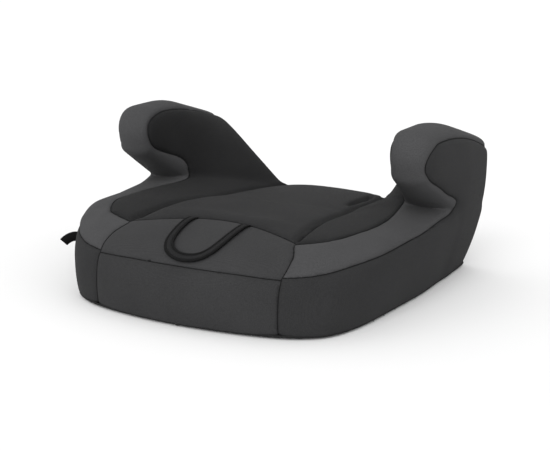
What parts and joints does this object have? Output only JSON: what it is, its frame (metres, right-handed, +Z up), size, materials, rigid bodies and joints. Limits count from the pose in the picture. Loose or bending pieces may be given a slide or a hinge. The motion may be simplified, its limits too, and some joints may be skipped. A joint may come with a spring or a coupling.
{
  "type": "booster seat",
  "caption": "Backless child booster seat with padded cloth cover, forward-curling armrests over belt gaps, a front webbing pull loop and rear connectors that slide out.",
  "frame": {"origin": "middle of the floor footprint of the whole seat, at floor level", "axes": "+X to the seat's side (widest), -Y is the front edge, +Z up"},
  "size_m": [0.453, 0.4002, 0.2],
  "materials": {
    "charcoal_cloth": "matte",
    "seat_cloth": "matte",
    "dark_cloth": "matte",
    "grey_cloth": "matte",
    "webbing": "matte",
    "foam": "matte",
    "shell_plastic": "matte",
    "button_plastic": "satin",
    "yoke_plastic": "satin",
    "steel": "satin",
    "rail_steel": "satin",
    "rubber": "matte"
  },
  "bodies": {
    "seat": {"front_skirt": "charcoal_cloth", "front_top_panel": "charcoal_cloth", "seat_panel": "seat_cloth", "left_inner_panel": "dark_cloth", "right_inner_panel": "dark_cloth", "left_arm_band": "grey_cloth", "right_arm_band": "grey_cloth", "left_outer_panel": "charcoal_cloth", "right_outer_panel": "charcoal_cloth", "back_panel": "dark_cloth", "cover_hem": "webbing", "side_label": "webbing", "seat_foam": "foam", "left_arm_foam": "foam", "right_arm_foam": "foam", "seat_shell": "shell_plastic", "left_arm_shell": "shell_plastic", "right_arm_shell": "shell_plastic", "base_cover": "shell_plastic", "base_screws": "steel", "rail_screws": "steel", "arm_screws": "steel", "rubber_feet": "rubber", "left_guide_rail": "rail_steel", "right_guide_rail": "rail_steel", "rear_bezels": "shell_plastic", "left_lock_spring": "steel", "right_lock_spring": "steel"},
    "connector_carriage": {"left_connector_arm": "steel", "right_connector_arm": "steel", "crossbar": "steel", "crossbar_rivets": "steel", "left_connector_housing": "shell_plastic", "right_connector_housing": "shell_plastic", "housing_rivets": "steel", "hook_pins": "steel", "left_slider_spring": "steel", "right_slider_spring": "steel"},
    "left_hook": {"left_latch_hook": "steel"},
    "right_hook": {"right_latch_hook": "steel"},
    "left_slider": {"left_release_slider": "button_plastic"},
    "right_slider": {"right_release_slider": "button_plastic"},
    "front_release": {"pull_loop": "webbing", "strap_bar": "steel", "release_yoke": "yoke_plastic"},
    "left_pin": {"left_lock_pin": "steel"},
    "right_pin": {"right_lock_pin": "steel"}
  },
  "joints": [
    {"name": "carriage_slide", "type": "slide", "parent": "seat", "child": "connector_carriage", "axis": [0, 1, 0], "range_m": [0, 0.09]},
    {"name": "pull_slide", "type": "slide", "parent": "seat", "child": "front_release", "axis": [0, -1, 0], "range_m": [0, 0.015], "stiffness_N_per_m": 400, "springref_m": -0.01},
    {"name": "left_pin_slide", "type": "slide", "parent": "seat", "child": "left_pin", "axis": [0, 0, 1], "range_m": [-0.0005, 0.0055], "stiffness_N_per_m": 150, "springref_m": -0.004, "deforming": ["left_lock_spring"]},
    {"name": "left_slider_slide", "type": "slide", "parent": "connector_carriage", "child": "left_slider", "axis": [0, 1, 0], "range_m": [0, 0.008], "deforming": ["left_slider_spring"]},
    {"name": "left_hook_turn", "type": "hinge", "parent": "connector_carriage", "child": "left_hook", "pos_m": [-0.14, 0.166, 0.035], "axis": [-1, 0, 0], "range_deg": [-1, 26]},
    {"name": "right_pin_slide", "type": "slide", "parent": "seat", "child": "right_pin", "axis": [0, 0, 1], "range_m": [-0.0005, 0.0055], "stiffness_N_per_m": 150, "springref_m": -0.004, "deforming": ["right_lock_spring"]},
    {"name": "right_slider_slide", "type": "slide", "parent": "connector_carriage", "child": "right_slider", "axis": [0, 1, 0], "range_m": [0, 0.008], "deforming": ["right_slider_spring"]},
    {"name": "right_hook_turn", "type": "hinge", "parent": "connector_carriage", "child": "right_hook", "pos_m": [0.14, 0.166, 0.035], "axis": [-1, 0, 0], "range_deg": [-1, 26]}
  ],
  "couplings": [
    {"joint": "left_pin_slide", "follows": "pull_slide", "ratio": 0.33333},
    {"joint": "left_hook_turn", "follows": "left_slider_slide", "rad_per_m": 54.541},
    {"joint": "right_pin_slide", "follows": "pull_slide", "ratio": 0.33333},
    {"joint": "right_hook_turn", "follows": "right_slider_slide", "rad_per_m": 54.541}
  ]
}
